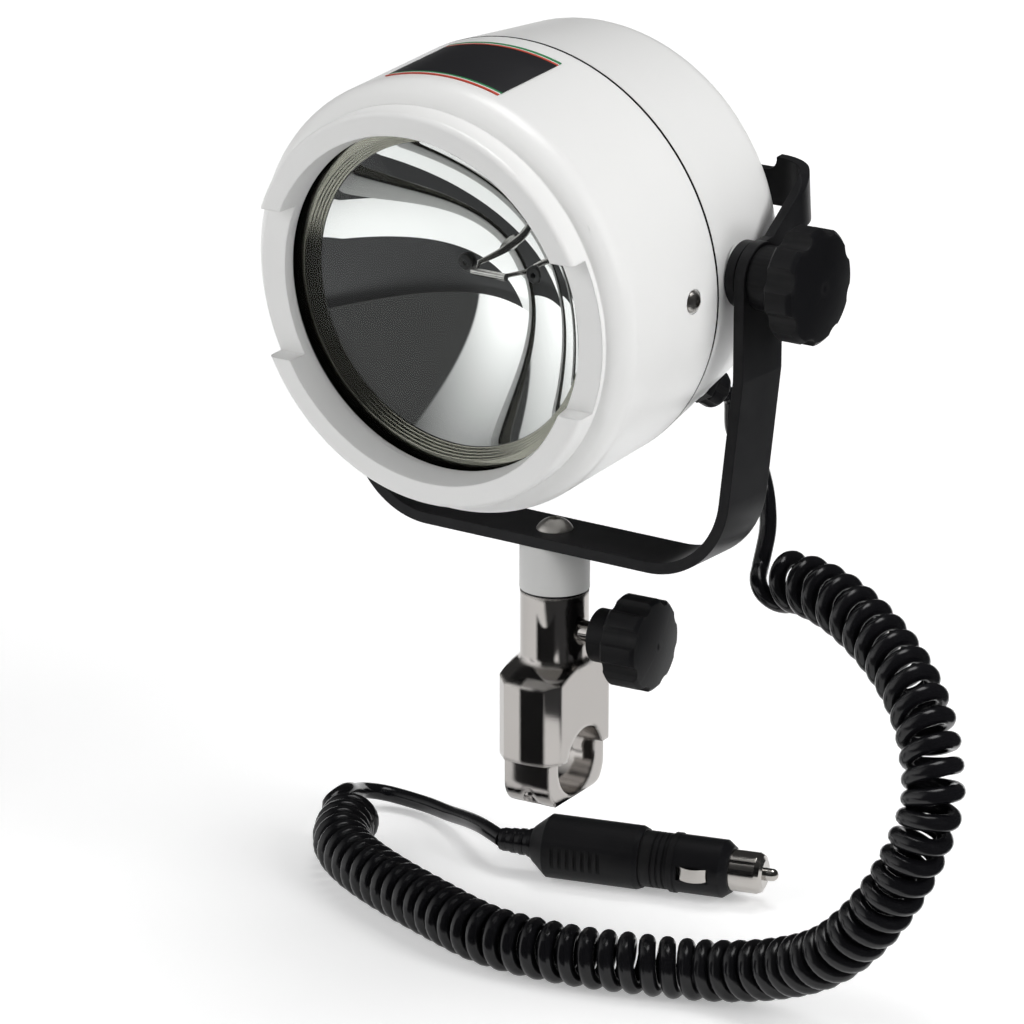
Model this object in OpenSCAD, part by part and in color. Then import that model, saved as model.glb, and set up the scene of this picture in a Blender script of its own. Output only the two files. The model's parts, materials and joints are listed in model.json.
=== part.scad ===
// Marine searchlight on a tube clamp, with a curly cord and a 12 volt plug.
// Millimetres, +Z up. +X runs along the clamp's bore and the light faces -Y.
// The origin is on the bore's axis, under the middle of the clamp's socket.

/* [Pose at rest] */
// Turn of the yoke about the socket, counter-clockwise from above
pan_rest = -4; // [-20:1:20]
// Dip of the beam below level
tilt_rest = 5; // [-10:1:15]

/* [Tube clamp] */
// Diameter of the clamp's bore, which is that of the tube it holds
bore_d = 25.4; // [22:0.1:26]
// Length of the clamp block along the bore
clamp_l = 25; // [23:0.5:30]
// Wall of the block beside the bore, at its flat ends
clamp_wall = 6.8; // [6:0.1:9]
// How far the block's front and back bulge in the middle
clamp_bulge = 2.6; // [1.5:0.1:4]
// Width of the chamfers along the block's upright edges, on its flat ends
clamp_chamfer = 3; // [2:0.5:5]
// Height of the joint between block and cap above the bore's axis
split_z = 3.5; // [2:0.5:6]
// Height of the block's front edge above the bore's axis
block_top_z = 32; // [29:0.5:36]
// Rise of the block's domed top from that edge to the socket tube
dome_rise = 5; // [3:0.5:7]
// Wall of the cap beside the bore
cap_wall = 6.2; // [5.5:0.1:7]
// Wall of the cap under the bore
cap_floor = 2.2; // [2:0.1:6]
// Radius of the cap's lower corners
cap_corner = 10; // [6:0.5:11]
// How far the cap is set in from each flat end of the block
cap_inset = 3.5; // [1:0.5:5]
// Radius of the cap's lower edges at its ends
cap_round = 3; // [2:0.5:4]
// Diameter of the clamp screws
clamp_screw_d = 3.5; // [3:0.5:4]

/* [Socket and spigot] */
// Outer diameter of the socket tube
tube_d = 24.2; // [23:0.1:28]
// Height of the socket tube above the block
tube_h = 30; // [26:0.5:36]
// Wall of the socket tube
tube_wall = 3; // [2.5:0.1:3.5]
// Diameter of the spigot's collar
spigot_d = 24.6; // [24:0.1:26]
// Height of the spigot's collar
spigot_h = 17.2; // [14:0.2:24]
// Thickness of the washer between socket and spigot
pan_washer_t = 0.8; // [0.5:0.1:1.5]
// Height of the locking screw above the block
pan_screw_h = 16; // [14:0.5:18]

/* [Yoke] */
// Width of the yoke's strap
strap_w = 24; // [20:0.5:28]
// Thickness of the yoke's strap
strap_t = 4; // [3:0.5:5]
// Outer radius of the strap's lower bends
bend_r = 33; // [24:1:40]
// Outward lean of the arms in degrees
splay = 6.5; // [1:0.5:8]
// Height of the upright pad under the tilt axis
pad_h = 34; // [30:1:40]
// Height of the tilt axis above the underside of the strap
pivot_h = 108; // [104:1:125]

/* [Head] */
// Room from the lamp's rim to the outside of the head
lamp_room = 14; // [12:0.5:17]
// Front face, forward of the tilt axis
face_y = 72; // [68:0.5:80]
// Joint of the two shells, forward of the tilt axis
seam_y = 15.5; // [14:0.5:18]
// Rear face, behind the tilt axis
rear_y = 39.5; // [34:0.5:42]
// Taper of the rear shell in degrees
rear_taper = 8; // [2:0.5:10]
// Wall of the shells
shell_wall = 3; // [2:0.5:4]
// Radius of the front shoulder
shoulder_r = 9; // [6:0.5:9]
// Radius of the rear corner
rear_r = 13; // [11:0.5:18]
// Height of the hood in front of the face
hood_h = 9; // [6:0.5:14]
// How much wider the hood's mouth is than the opening, on each side
hood_flare = 1.7; // [0.5:0.1:2.5]
// Thickness of the hood at its mouth
hood_t = 8; // [6:0.5:9]
// Height of the cut-aways at the sides of the hood
notch_h = 53; // [40:1:70]
// Height of the ridge that is left in the cut-aways
notch_floor = 2; // [1:0.5:4]
// Thickness of the gasket between the shells
seam_gasket_t = 1.1; // [0.5:0.1:1.5]
// Distance of the shell screws in front of the joint
shell_screw_y = 14.8; // [10:0.2:18]

/* [Lamp] */
// How far the face laps over the lamp's rim
face_lap = 2.7; // [2.4:0.1:3.5]
// Diameter of the lamp's rim
lamp_d = 124; // [122:0.2:125]
// Thickness of the lamp's glass
glass_t = 3; // [2.5:0.1:3.5]
// Rise of the glass in the middle
glass_rise = 2.5; // [1:0.1:3]
// Depth of the reflector
reflector_depth = 45; // [42:0.5:46]
// Distance of the filament's posts from the lamp's axis
post_x = 14; // [12:0.5:16]

/* [Rear handle] */
// Thickness of the handle's strap
handle_t = 3.5; // [3:0.1:4]
// Rear face of the handle, behind the tilt axis
handle_y = 52; // [50:0.5:60]
// Height of the handle's strap behind the head
handle_w = 17.5; // [16:0.5:28]
// Dip of the handle's upper edge behind the head
handle_dip = 5; // [3:0.5:8]
// Rise of the handle's lower edge above the tilt axis
handle_rise = 6; // [4:0.5:10]
// Diameter of the handle's eyes
handle_eye_d = 23; // [21:0.5:26]

/* [Knobs] */
// Diameter of the tilt knobs
tilt_knob_d = 40; // [34:0.5:44]
// Diameter of the pan knob
pan_knob_d = 33; // [30:0.5:34]
// Diameter of the knobs' studs
stud_d = 8; // [6:0.5:8]
// Thickness of the washers at the tilt axis
tilt_washer_t = 0.6; // [0.4:0.1:1]

/* [Cord and plug] */
// Diameter of the wire
wire_d = 6; // [5.6:0.1:6.4]
// Outer diameter of the curly part
coil_d = 21.5; // [20:0.5:22]
// Diameter of the plug's grip
grip_d = 23.2; // [22:0.1:24]
// Length of the plug's grip
grip_l = 42; // [38:0.5:46]
// Diameter of the plug's nose
nose_d = 21; // [20.4:0.1:21.4]
// Length of the plug's neck behind the nose
neck_l = 11; // [8:0.5:13]
// Length of the plug's neck and nose together
nose_l = 33; // [30:0.5:36]
// Diameter of the plug's metal tip
tip_d = 15; // [13:0.1:16]
// Length of the plug's metal tip
tip_l = 12; // [10:0.5:15]
// Diameter of the plug's sprung pin
pin_d = 4.6; // [4:0.1:5]

/* [Hidden] */
$fn = 72;

// Colours
steel = "lightgray";
black = "#1c1c1e";
white = "#f2f2ee";
brass = "#b59a52";

// Clearances
run = 0.05;
seat = 0.1;
eps = 0.01;

// Clamp and socket
bore_r = bore_d / 2;
block_half = bore_r + clamp_wall;
bulge_r = (pow(clamp_l / 2, 2) + pow(clamp_bulge, 2)) / (2 * clamp_bulge);
bulge_y = block_half + clamp_bulge - bulge_r;
chamfer_y = block_half - clamp_chamfer;
dome_c = (pow(block_half + clamp_bulge, 2) - pow(tube_d / 2, 2) + pow(block_top_z, 2)
  - pow(block_top_z + dome_rise, 2)) / (-2 * dome_rise);
dome_r = norm([tube_d / 2, block_top_z + dome_rise - dome_c]);
foot_t = 1.4;
cap_l = clamp_l - 2 * cap_inset;
cap_half = bore_r + cap_wall;
cap_z = -bore_r - cap_floor;
clamp_screw_room = 0.9;
clamp_screw_y = bore_r + clamp_screw_d / 2 + clamp_screw_room;
clamp_head_d = clamp_screw_d * 1.6;
clamp_head_h = clamp_screw_d;
clamp_head_z = -clamp_screw_d * 1.7;
clamp_bite = clamp_screw_d * 3.1;
tube_top = block_top_z + tube_h;
socket_r = tube_d / 2 - tube_wall;
socket_floor = 4;
socket_z = block_top_z + socket_floor;
pan_z = block_top_z + pan_screw_h;
groove_depth = 0.8;
groove_r = socket_r - groove_depth;
groove_h = stud_d + 2;

// Yoke
bar_z = tube_top + pan_washer_t + spigot_h;
pivot_z = bar_z + pivot_h;
head_r = lamp_d / 2 + lamp_room;
open_r = lamp_d / 2 - face_lap;
mouth_r = open_r + hood_flare;
hood_r = mouth_r + hood_t;
boss_x = head_r - (seam_y - seam_gasket_t / 2 - handle_eye_d / 2) * tan(rear_taper) + 3 * seat;
eye_x = boss_x + handle_t + eps;
arm_in = eye_x + tilt_washer_t + seat;
arm_out = arm_in + strap_t;
pad_z = pivot_z - pad_h;
bend_z = bar_z + bend_r;
bend_x = arm_out - (pad_z - bend_z) * tan(splay) - bend_r / cos(splay);
screw_d = 6;
screw_bite = 18;
screw_head_d = 13;
screw_head_h = 4;

// Head, with distances along its axis counted backwards from the tilt axis
cavity_r = head_r - shell_wall;
seam_s = -seam_y;
face_s = -face_y;
lip_t = 2;
hood_edge = 2;
pocket_s = face_s + lip_t;
gasket_t = 1.4;
gasket_r = lamp_d / 2 + gasket_t;
gasket_inset = 0.6;
pocket_wall = 3;
gasket_lip = 1;
glass_s = pocket_s + gasket_lip;
flange_s = glass_s + glass_t;
flange_t = 2.5;
ring_s = flange_s + flange_t;
ring_t = 2;
ring_land = cavity_r - gasket_r - pocket_wall;
ring_screw_r = cavity_r - ring_land / 2;
ring_screw_d = ring_land * 0.38;
rim_w = 5;
mirror_r = lamp_d / 2 - rim_w;
vertex_s = flange_s + reflector_depth;
focus = pow(mirror_r, 2) / (4 * reflector_depth);
bowl_wall = 2;
neck_r = 10;
base_s = vertex_s + 3;
base_l = 8;
ferrule_d = 6;
post_d = 1.6;
filament_d = 2.6;
filament_l = 7.4;
base_r = post_x + ferrule_d;
terminal_x = 7;
terminal_l = 8;
terminal_s = base_s + base_l;
lip_t_r = 4;
lip_in_r = cavity_r - lip_t_r;
lip_root = 6;
lip_l = shell_screw_y + lip_root;
shell_screw_s = seam_s - shell_screw_y;
shell_screw_d = 4;
shell_thread_d = shell_screw_d - 0.6;
shell_head_d = shell_screw_d * 1.9;
shell_head_h = shell_screw_d * 0.7;
shell_bite = 3;
shell_sink = 0.8;
insert_d = 12;
insert_l = 14;

// Cable gland on the rear corner, low on the +X side
gland_angle = -61;
gland_thread_d = 11;
gland_boss_l = 7;
corner_s = rear_y - rear_r;
taper_l = corner_s - seam_s - seam_gasket_t / 2;
// Distance from the head's axis to the middle of a rear corner of the cup whose front radius is r
function corner_r(r, corner) = r - taper_l * tan(rear_taper) - corner / cos(rear_taper);
gland_s = corner_s + rear_r * cos(45);
gland_r = corner_r(head_r, rear_r) + rear_r * sin(45);

// Knobs
tilt_hub_l = 11.6;
tilt_hub_d = 22;
tilt_knob_l = 12.4;
pan_hub_l = 9;
pan_hub_d = 19;
pan_knob_l = 15;
pan_reach = 5.8;
pan_hub_x = tube_d / 2 + pan_reach;
stud_bite = 14;
knob_x = arm_out + seat;

// Plug: rear end of its grip, with the plug lying level and turned about Z
plug_pos = [-26, 31, -49.4];
plug_turn = 11;
boot_l = 13;
boot_d = 11;
fuse_d = 6.35;
fuse_l = 32;
fuse_room = 0.3;
slot_l = 12;
slot_w = 5.2;
slot_depth = 3.2;
leaf_t = 0.8;
leaf_gap = 0.9;
leaf_rise = 1;

// Routes of the cord, from the gland to the coil, through the coil and on to the plug
gland_tip = 11;
gland_in = 12.2;
coil_start = [77, 18.5, 70.5];
coil_end = [-98, 22, -50];
pigtail_mid = [[43, 50, 113], [50, 48, 108], [58, 41, 105], [65, 32, 102], [69, 27, 96], [70.5, 24.5, 88],
  [67.5, 23, 80], [68.5, 22, 74]];
coil_mid = [[84, 16, 74.5], [98, 9, 76], [114, 0, 75], [131, -10, 70.5], [146, -20, 64], [158, -30, 56],
  [166, -38, 45], [170, -44, 31], [167, -48, 16], [160, -50, 0], [149, -50, -16], [133, -47, -31],
  [110, -40, -43], [84, -38, -50], [58, -46, -50], [32, -51, -50], [3, -50, -50], [-28, -38, -50],
  [-54, -26, -50], [-73, -15, -50], [-86, -4, -50], [-94, 9, -50]];
tail_mid = [[-103, 33, -50], [-110, 43, -51], [-113, 52, -53], [-106, 59, -56], [-90, 59, -57],
  [-76, 52, -56], [-65, 44, -53], [-56, 36, -51], [-48, 30, -50]];

function unit(v) = v / norm(v);
function turn_x(v, a) = [v[0], v[1] * cos(a) - v[2] * sin(a), v[1] * sin(a) + v[2] * cos(a)];
function turn_z(v, a) = [v[0] * cos(a) - v[1] * sin(a), v[0] * sin(a) + v[1] * cos(a), v[2]];
// A point of the head's own frame in the part's frame
function head_dir(v) = turn_z(turn_x(v, tilt_rest), pan_rest);
function head_pt(v) = head_dir(v) + [0, 0, pivot_z];

gland_axis = [cos(gland_angle) * cos(45), sin(45), sin(gland_angle) * cos(45)];
gland_base = [gland_r * cos(gland_angle), gland_s, gland_r * sin(gland_angle)];
lead_end = gland_base - gland_in * gland_axis;
gland_exit = head_pt(gland_base + gland_tip * gland_axis);
plug_axis = [cos(plug_turn), sin(plug_turn), 0];
boot_end = plug_pos - boot_l * plug_axis;
pigtail_path = concat([gland_exit, gland_exit + 6 * head_dir(gland_axis)], pigtail_mid, [coil_start]);
coil_path = concat([coil_start], coil_mid, [coil_end]);
tail_path = concat([coil_end], tail_mid, [boot_end]);
coil_dir = unit(coil_mid[0] - coil_start);
coil_end_dir = unit(coil_end - coil_mid[len(coil_mid) - 1]);
// Direction that none of the cord's stretches runs along
cord_side = [0.3, 0.8, 0.52];

// Frames of the yoke, the head, the gland and the plug
module on_yoke() rotate([0, 0, pan_rest]) children();
module on_head() on_yoke() translate([0, 0, pivot_z]) rotate([tilt_rest, 0, 0]) children();
module on_gland() on_head() rotate([0, -gland_angle, 0]) translate([gland_r, gland_s, 0]) rotate([0, 0, 45])
  rotate([0, 90, 0]) children();
module on_plug() translate(plug_pos) rotate([0, 0, plug_turn]) rotate([0, 90, 0]) children();

// A profile of radius and distance along the axis, turned about the head's axis
module turned() rotate([-90, 0, 0]) rotate_extrude($fn = 120) children();
// A ring about the local Z axis
module ring(r_out, r_in, z0, z1) translate([0, 0, z0]) difference() {
  cylinder(r = r_out, h = z1 - z0);
  translate([0, 0, -eps]) cylinder(r = r_in, h = z1 - z0 + 2 * eps);
}
// A rod or bore along X
module rod_x(r, x0, x1) translate([x0, 0, 0]) rotate([0, 90, 0]) cylinder(r = r, h = x1 - x0);
// A pan-headed screw along Z: the head stands above z = 0 and the shank hangs below
module pan_screw(d, l, head_d, head_h) {
  translate([0, 0, -l]) cylinder(d = d, h = l + eps);
  intersection() {
    cylinder(d = head_d, h = head_h);
    translate([0, 0, head_h - cap_r(head_d / 2, head_h)]) sphere(r = cap_r(head_d / 2, head_h));
  }
}
// Radius of a sphere whose cap has a given rim and height, made flatter so that the rim keeps an edge
function cap_r(r, h) = (r * r + h * h) / (2 * h) * 1.02;
// A rod between two points
module rod_between(a, b, d) let (v = b - a) translate(a)
  rotate([0, acos(v[2] / norm(v)), atan2(v[1], v[0])]) cylinder(d = d, h = norm(v));
// A star grip along Z with a flat rear face at z = 0, a bevelled rim and a domed front
module star_grip(d, l, lobes = 8) {
  bevel = d * 0.035;
  crown = d * 0.045;
  intersection() {
    linear_extrude(height = l) difference() {
      circle(d = d);
      for (i = [0:lobes - 1]) rotate([0, 0, 360 * (i + 0.5) / lobes])
        translate([d * 0.565, 0]) circle(d = d * 0.26);
    }
    union() {
      cylinder(r1 = d / 2 - bevel, r2 = d / 2, h = bevel);
      translate([0, 0, bevel]) cylinder(d = d, h = l - 2 * bevel - crown);
      translate([0, 0, l - bevel - crown]) cylinder(r1 = d / 2, r2 = d / 2 - bevel, h = bevel);
      intersection() {
        translate([0, 0, l - crown - bevel]) cylinder(r = d / 2 - bevel, h = crown + bevel);
        translate([0, 0, l - cap_r(d / 2 - bevel, crown)]) sphere(r = cap_r(d / 2 - bevel, crown));
      }
    }
  }
}
// A knob along +X: hub, star grip and a blind hole for its stud
module knob(d, hub_d, hub_l, l, hole_l) difference() {
  rotate([0, 90, 0]) {
    cylinder(d = hub_d, h = hub_l + eps);
    translate([0, 0, hub_l]) star_grip(d, l);
  }
  rod_x(stud_d / 2 + run / 2, -eps, hole_l);
}
// A round tube swept through the points of a path, its end faces square to given directions
module swept(path, d, sides, dir0, dir1) {
  n = len(path);
  tangent = [for (i = [0:n - 1]) i == 0 ? dir0 : i == n - 1 ? dir1
    : unit(unit(path[i + 1] - path[i]) + unit(path[i] - path[i - 1]))];
  points = [for (i = [0:n - 1]) let (u = unit(cross(tangent[i], cord_side)), v = cross(tangent[i], u))
    for (k = [0:sides - 1]) path[i] + d / 2 * (u * cos(360 * k / sides) + v * sin(360 * k / sides))];
  sides_f = [for (i = [0:n - 2]) for (k = [0:sides - 1]) let (m = (k + 1) % sides, a = i * sides, b = a + sides)
    each [[a + k, b + k, b + m], [a + k, b + m, a + m]]];
  cap0 = [for (k = [0:sides - 1]) k];
  cap1 = [for (k = [0:sides - 1]) n * sides - 1 - k];
  polyhedron(points = points, faces = concat([cap0, cap1], sides_f), convexity = 10);
}

// Tube clamp: block with the socket tube, cap and screws
module block_plan() intersection() {
  polygon([[clamp_l / 2, -chamfer_y], [clamp_l / 2, chamfer_y], [0, chamfer_y + clamp_l / 2],
    [-clamp_l / 2, chamfer_y], [-clamp_l / 2, -chamfer_y], [0, -chamfer_y - clamp_l / 2]]);
  translate([0, bulge_y]) circle(r = bulge_r, $fn = 180);
  translate([0, -bulge_y]) circle(r = bulge_r, $fn = 180);
}
module clamp_body() color(steel) difference() {
  union() {
    intersection() {
      translate([0, 0, split_z]) linear_extrude(height = dome_c + dome_r) block_plan();
      translate([0, 0, dome_c]) sphere(r = dome_r, $fn = 180);
    }
    translate([0, 0, block_top_z]) cylinder(d = tube_d, h = tube_h);
    translate([0, 0, block_top_z + dome_rise - foot_t])
      cylinder(r1 = tube_d / 2 + foot_t * 0.9, r2 = tube_d / 2, h = 2 * foot_t);
  }
  rod_x(bore_r, -clamp_l, clamp_l);
  translate([0, 0, socket_z]) cylinder(r = socket_r, h = tube_h);
  translate([0, 0, pan_z]) rod_x(stud_d / 2 + run, 0, tube_d);
  for (y = [-clamp_screw_y, clamp_screw_y])
    translate([0, y, split_z - 1]) cylinder(d = clamp_screw_d + 2 * run, h = clamp_bite + 2);
}
// An upright outline with rounded lower corners
module rounded_foot(half, z0, z1, r) intersection() {
  translate([-half, z0]) square([2 * half, z1 - z0]);
  union() {
    translate([-half, z0 + r]) square([2 * half, z1 - z0]);
    translate([-half + r, z0]) square([2 * (half - r), r + eps]);
    for (side = [-1, 1]) translate([side * (half - r), z0 + r]) circle(r = r);
  }
}
module clamp_cap() color(steel) difference() {
  intersection() {
    rotate([90, 0, 90]) linear_extrude(height = cap_l, center = true) difference() {
      rounded_foot(cap_half, cap_z, split_z, cap_corner);
      translate([-bore_r, 0]) square([2 * bore_r, split_z + 1]);
    }
    rotate([90, 0, 0]) linear_extrude(height = 4 * cap_half, center = true)
      rounded_foot(cap_l / 2, cap_z, split_z + 1, cap_round);
  }
  rod_x(bore_r, -clamp_l, clamp_l);
  for (y = [-clamp_screw_y, clamp_screw_y]) translate([0, y, cap_z - 1]) {
    cylinder(d = clamp_screw_d + 2 * run, h = split_z - cap_z + 2);
    cylinder(d = clamp_head_d + 4 * seat, h = clamp_head_z - cap_z + 1);
  }
}
module clamp_screws() color(steel) for (y = [-clamp_screw_y, clamp_screw_y]) translate([0, y, clamp_head_z]) {
  translate([0, 0, -eps]) cylinder(d = clamp_screw_d, h = split_z - clamp_head_z + clamp_bite);
  difference() {
    translate([0, 0, -clamp_head_h]) cylinder(d = clamp_head_d, h = clamp_head_h);
    translate([0, 0, -clamp_head_h - 1]) cylinder(d = clamp_screw_d * 0.8, h = clamp_head_h / 2 + 1, $fn = 6);
  }
}

// Spigot in the socket, its washer and the screw that holds the yoke on it
module spigot() on_yoke() color("#c9c9c6") difference() {
  union() {
    translate([0, 0, bar_z - spigot_h]) cylinder(d = spigot_d, h = spigot_h);
    translate([0, 0, socket_z + 0.5]) cylinder(r = socket_r - run, h = bar_z - spigot_h - socket_z);
  }
  ring(socket_r + 1, groove_r, pan_z - groove_h / 2, pan_z + groove_h / 2);
  translate([0, 0, bar_z - screw_bite - 1]) cylinder(d = screw_d + run, h = screw_bite + 2);
}
module pan_washer() on_yoke() color(black)
  ring(tube_d / 2 - 2 * seat, socket_r + seat, tube_top, tube_top + pan_washer_t);
module spigot_screw() on_yoke() color(steel) translate([0, 0, bar_z + strap_t]) difference() {
  pan_screw(screw_d, strap_t + screw_bite, screw_head_d, screw_head_h);
  translate([0, 0, screw_head_h / 2]) cylinder(d = screw_d * 0.75, h = screw_head_h, $fn = 6);
}

// Yoke of flat strap: the room inside a U with rounded lower corners, leaning arms and upright pads
module yoke_room(inset, top) {
  r = bend_r - inset;
  foot = [bend_x + r * cos(splay), bend_z - r * sin(splay)];
  kink = [arm_out - inset, pad_z + inset * tan(splay / 2)];
  right = [[bend_x, bend_z - r], foot, kink, [arm_out - inset, top]];
  polygon(concat(right, [for (i = [3:-1:0]) [-right[i][0], right[i][1]]]));
  for (side = [-1, 1]) translate([side * bend_x, bend_z]) circle(r = r);
}
module yoke() on_yoke() color(black) difference() {
  intersection() {
    rotate([90, 0, 0]) linear_extrude(height = 2 * strap_w, center = true) difference() {
      yoke_room(0, pivot_z + strap_w);
      yoke_room(strap_t, pivot_z + 2 * strap_w);
    }
    rotate([90, 0, 90]) linear_extrude(height = 3 * arm_out, center = true) {
      translate([-strap_w / 2, 0]) square([strap_w, pivot_z]);
      translate([0, pivot_z]) circle(d = strap_w);
    }
  }
  translate([0, 0, pivot_z]) rod_x(stud_d / 2 + run, -2 * arm_out, 2 * arm_out);
  translate([0, 0, bar_z - 1]) cylinder(d = screw_d + 2 * run, h = strap_t + 2);
}

// Front shell: rounded shoulder, hood with side cut-aways, lamp pocket and screw bosses
module shell_outline(r, s0, s1, corner) {
  translate([0, s0 + corner]) square([r, s1 - s0 - corner]);
  translate([0, s0]) square([r - corner, corner + 1]);
  translate([r - corner, s0 + corner]) circle(r = corner);
}
module front_profile() difference() {
  union() {
    shell_outline(head_r, face_s, seam_s - seam_gasket_t / 2, shoulder_r);
    translate([0, face_s - hood_h]) square([hood_r - hood_edge, hood_h + 1]);
    translate([0, face_s - hood_h + hood_edge]) square([hood_r, hood_h]);
    translate([hood_r - hood_edge, face_s - hood_h + hood_edge]) circle(r = hood_edge);
  }
  translate([-eps, pocket_s - 2 * lip_t]) square([open_r, face_y]);
  polygon([[0, face_s], [open_r, face_s], [mouth_r, face_s - hood_h - 1], [0, face_s - hood_h - 1]]);
  translate([-eps, pocket_s]) square([gasket_r, face_y]);
  difference() {
    shell_outline(cavity_r, face_s + shell_wall, 0, shoulder_r - shell_wall);
    translate([0, face_s]) square([gasket_r + pocket_wall, ring_s - face_s]);
  }
}
module ring_bosses(d, s0, s1) for (a = [90, 210, 330])
  rotate([0, a, 0]) translate([ring_screw_r, s0, 0]) rotate([-90, 0, 0]) cylinder(d = d, h = s1 - s0);
module shell_screw_bores(d, x0) for (side = [0, 180]) rotate([0, side, 0]) translate([0, shell_screw_s, 0])
  rod_x(d / 2, x0, head_r + 5);
module front_shell() on_head() color(white) difference() {
  union() {
    turned() front_profile();
    intersection() {
      ring_bosses(ring_land - seat, face_s + shell_wall - 1, ring_s);
      turned() translate([0, face_s]) square([cavity_r + 1, face_y]);
    }
  }
  for (side = [-1, 1]) translate([side * head_r, face_s - notch_floor - hood_h, 0])
    cube([head_r, 2 * hood_h, notch_h], center = true);
  ring_bosses(ring_screw_d + 2 * run, face_s + shell_wall + 1, ring_s + 1);
  shell_screw_bores(shell_screw_d + 2 * run, 0);
  shell_screw_bores(shell_head_d + 8 * seat, head_r - shell_sink);
}

// Rear shell: cup with rounded rear corner, register lip, pivot bosses and gland boss
module tapered_cup(r, s1, corner) {
  c = [corner_r(r, corner), s1 - corner];
  edge = c + corner * [cos(rear_taper), sin(rear_taper)];
  s0 = seam_s + seam_gasket_t / 2;
  polygon([[0, s0], [r, s0], edge, c, [c[0], s1], [0, s1]]);
  translate(c) circle(r = corner);
}
module rear_profile() {
  difference() {
    tapered_cup(head_r, rear_y, rear_r);
    tapered_cup(head_r - shell_wall / cos(rear_taper), rear_y - shell_wall, rear_r - shell_wall);
  }
  translate([lip_in_r, seam_s - lip_l]) square([lip_t_r - run, lip_l + 1]);
  translate([lip_in_r, seam_s + seam_gasket_t / 2]) square([lip_t_r + 1, lip_root]);
}
module rear_shell() difference() {
  union() {
    on_head() color(white) turned() rear_profile();
    on_head() color(white) for (side = [0, 180]) rotate([0, side, 0])
      rod_x(insert_d / 2 + 4, boss_x - insert_l - 3, boss_x);
    on_gland() color(white) translate([0, 0, -gland_boss_l])
      cylinder(d = gland_thread_d + 4.5, h = gland_boss_l + 0.6);
  }
  on_head() for (side = [0, 180]) rotate([0, side, 0]) {
    rod_x(insert_d / 2, boss_x - insert_l, boss_x + 1);
    rod_x(stud_d / 2 + run, boss_x - insert_l - 4, boss_x);
  }
  on_head() shell_screw_bores(shell_thread_d, 0);
  on_gland() translate([0, 0, -3 * gland_boss_l]) cylinder(d = gland_thread_d + 2 * run, h = 6 * gland_boss_l);
}
module seam_gasket() on_head() color(black) turned()
  translate([cavity_r, seam_s - seam_gasket_t / 2]) square([shell_wall - 0.1, seam_gasket_t]);
module shell_screws() on_head() color(steel) for (side = [0, 180]) rotate([0, side, 0])
  translate([head_r - shell_sink, shell_screw_s, 0]) rotate([0, 90, 0]) difference() {
    pan_screw(shell_thread_d - run, shell_wall + shell_bite, shell_head_d, shell_head_h);
    translate([0, 0, shell_head_h / 2]) cylinder(d = shell_screw_d * 0.75, h = shell_head_h, $fn = 6);
  }

// Sealed-beam lamp: gasket, glass, reflector, base, posts, filament and terminals
module lamp_gasket() on_head() color(black) turned() {
  translate([lamp_d / 2, pocket_s]) square([gasket_r - run - lamp_d / 2, ring_s - pocket_s]);
  translate([open_r + gasket_inset, pocket_s]) square([gasket_r - run - open_r - gasket_inset, gasket_lip]);
}
function glass_front(r) = glass_s - glass_rise * (1 - pow(r / mirror_r, 2));
module lens_glass() on_head() color([0.85, 0.93, 0.9, 0.4]) turned() polygon(concat(
  [for (i = [0:12]) [mirror_r * i / 12, glass_front(mirror_r * i / 12)]],
  [[lamp_d / 2 - run, glass_s], [lamp_d / 2 - run, flange_s]],
  [for (i = [12:-1:0]) [mirror_r * i / 12, glass_front(mirror_r * i / 12) + glass_t]]));
function bowl_s(r) = vertex_s - pow(r, 2) / (4 * focus);
function bowl_r(i) = mirror_r * i / 14;
module reflector() on_head() color("silver") difference() {
  turned() polygon(concat([for (i = [0:14]) [bowl_r(i), bowl_s(bowl_r(i))]],
    [[lamp_d / 2 - run, flange_s], [lamp_d / 2 - run, ring_s], [mirror_r + bowl_wall, ring_s]],
    [for (i = [13:-1:3]) [bowl_r(i) + bowl_wall / 2, bowl_s(bowl_r(i)) + bowl_wall]],
    [[neck_r, bowl_s(neck_r) + bowl_wall], [neck_r, base_s], [0, base_s]]));
  for (x = [-post_x, post_x]) translate([x, vertex_s, 0]) rotate([90, 0, 0])
    cylinder(d = ferrule_d + 2 * seat, h = 4 * bowl_wall, center = true);
}
module lamp_ring() on_head() color(steel) difference() {
  turned() translate([mirror_r + bowl_wall + 1, ring_s])
    square([cavity_r - 3 * seat - mirror_r - bowl_wall - 1, ring_t]);
  ring_bosses(ring_screw_d + 6 * seat, ring_s - 1, ring_s + ring_t + 1);
}
module ring_screws() on_head() color(steel) for (a = [90, 210, 330]) rotate([0, a, 0])
  translate([ring_screw_r, ring_s + ring_t, 0]) rotate([-90, 0, 0])
    pan_screw(ring_screw_d, ring_t + ring_screw_d, 2 * ring_screw_d, 0.7 * ring_screw_d);
module lamp_base() on_head() color("#d8d4c8") turned() translate([0, base_s]) square([base_r, base_l]);
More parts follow.
